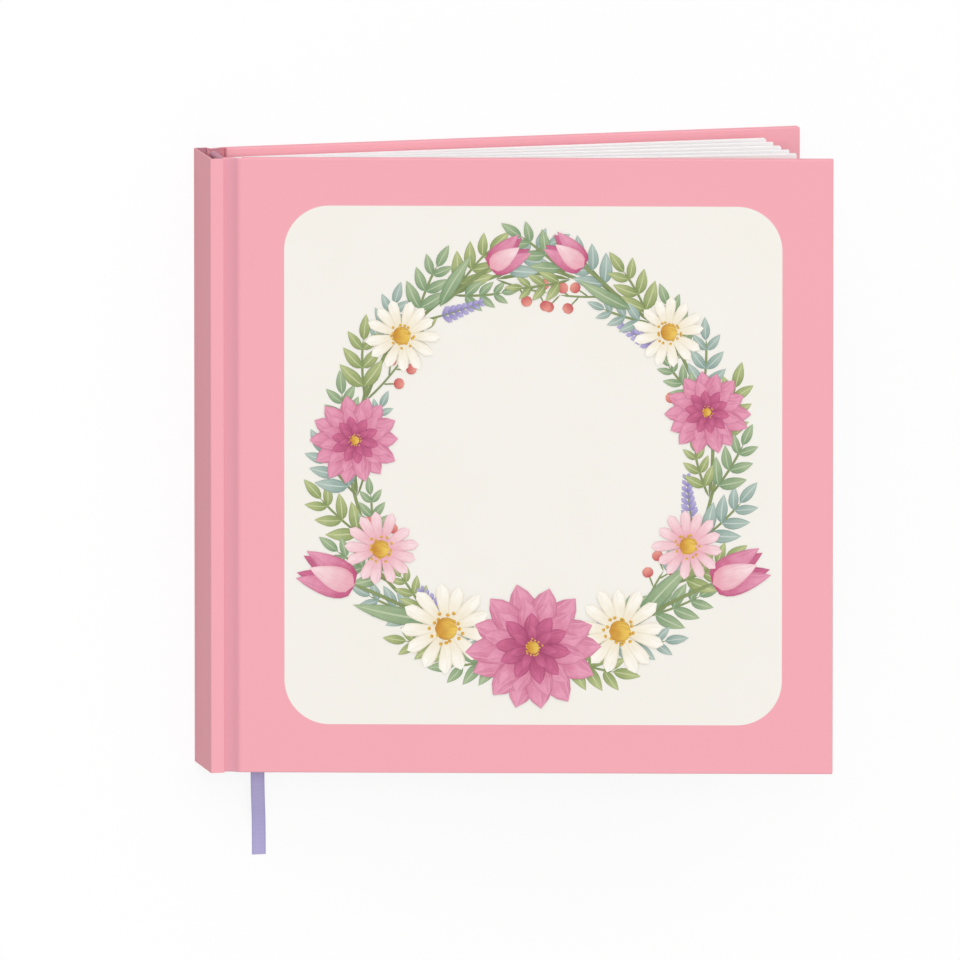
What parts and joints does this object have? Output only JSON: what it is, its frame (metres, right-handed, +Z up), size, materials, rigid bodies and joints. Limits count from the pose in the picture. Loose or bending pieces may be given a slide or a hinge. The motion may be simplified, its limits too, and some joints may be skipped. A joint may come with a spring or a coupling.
{
  "type": "address book",
  "caption": "Square hard-cover address book, its boards wrapped in printed paper, with sewn step-indexed leaves that fan open and a ribbon marker.",
  "frame": {"origin": "on the table, at the middle of the back cover's outline, spine included", "axes": "+X from the spine to the fore-edge, +Y from the tail to the head, +Z up from the back cover"},
  "size_m": [0.16, 0.1852, 0.058],
  "materials": {
    "cover_paper": "printed pink paper, matt laminated",
    "greyboard": "raw binder's board",
    "endpaper": "uncoated pink paper",
    "leaf_paper": "uncoated white writing paper",
    "lining_cloth": "open-weave mull",
    "sewing_thread": "linen thread",
    "band_cloth": "woven cotton band",
    "ribbon": "lilac satin ribbon"
  },
  "bodies": {
    "back_cover": {"back_board": "greyboard", "back_cover_paper": "cover_paper", "back_pastedown": "endpaper"},
    "spine": {"spine_board": "greyboard", "spine_cover_paper": "cover_paper", "spine_lining": "lining_cloth", "back_joint_paper": "cover_paper", "front_joint_paper": "cover_paper", "sewing_threads": "sewing_thread", "headband": "band_cloth", "tailband": "band_cloth"},
    "front_cover": {"front_board": "greyboard", "front_cover_paper": "cover_paper", "front_pastedown": "endpaper"},
    "leaf_group_1": {"signature_13": "leaf_paper", "signature_12": "leaf_paper", "signature_11": "leaf_paper", "back_flyleaf": "leaf_paper"},
    "leaf_group_2": {"signature_10": "leaf_paper", "signature_09": "leaf_paper", "ribbon_marker": "ribbon"},
    "leaf_group_3": {"signature_08": "leaf_paper", "signature_07": "leaf_paper", "signature_06": "leaf_paper"},
    "leaf_group_4": {"signature_05": "leaf_paper", "signature_04": "leaf_paper"},
    "leaf_group_5": {"signature_03": "leaf_paper", "signature_02": "leaf_paper", "signature_01": "leaf_paper", "front_flyleaf": "leaf_paper"}
  },
  "joints": [
    {"name": "back_cover_hinge", "type": "hinge", "parent": "back_cover", "child": "spine", "pos_m": [-0.0747, 0, -0.00015], "axis": [0, -1, 0], "range_deg": [0, 90], "deforming": ["back_joint_paper"]},
    {"name": "front_cover_hinge", "type": "hinge", "parent": "spine", "child": "front_cover", "pos_m": [-0.0747, 0, 0.01915], "axis": [0, -1, 0], "range_deg": [-14.6, 165.4], "deforming": ["front_joint_paper"]},
    {"name": "leaf_group_1_fold", "type": "hinge", "parent": "spine", "child": "leaf_group_1", "pos_m": [-0.0748, 0, 0.0046], "axis": [0, -1, 0], "range_deg": [-0.41, 4.54]},
    {"name": "leaf_group_2_fold", "type": "hinge", "parent": "spine", "child": "leaf_group_2", "pos_m": [-0.0748, 0, 0.00695], "axis": [0, -1, 0], "range_deg": [-2.06, 23.23]},
    {"name": "leaf_group_3_fold", "type": "hinge", "parent": "spine", "child": "leaf_group_3", "pos_m": [-0.0748, 0, 0.0096], "axis": [0, -1, 0], "range_deg": [-3.71, 41.93]},
    {"name": "leaf_group_4_fold", "type": "hinge", "parent": "spine", "child": "leaf_group_4", "pos_m": [-0.0748, 0, 0.01195], "axis": [0, -1, 0], "range_deg": [-5.36, 60.62]},
    {"name": "leaf_group_5_fold", "type": "hinge", "parent": "spine", "child": "leaf_group_5", "pos_m": [-0.0748, 0, 0.0143], "axis": [0, -1, 0], "range_deg": [-7.01, 79.31]}
  ],
  "couplings": [
    {"joint": "leaf_group_1_fold", "follows": "front_cover_hinge", "ratio": 0.027397},
    {"joint": "leaf_group_2_fold", "follows": "front_cover_hinge", "ratio": 0.14041},
    {"joint": "leaf_group_3_fold", "follows": "front_cover_hinge", "ratio": 0.25342},
    {"joint": "leaf_group_4_fold", "follows": "front_cover_hinge", "ratio": 0.36644},
    {"joint": "leaf_group_5_fold", "follows": "front_cover_hinge", "ratio": 0.47945}
  ]
}
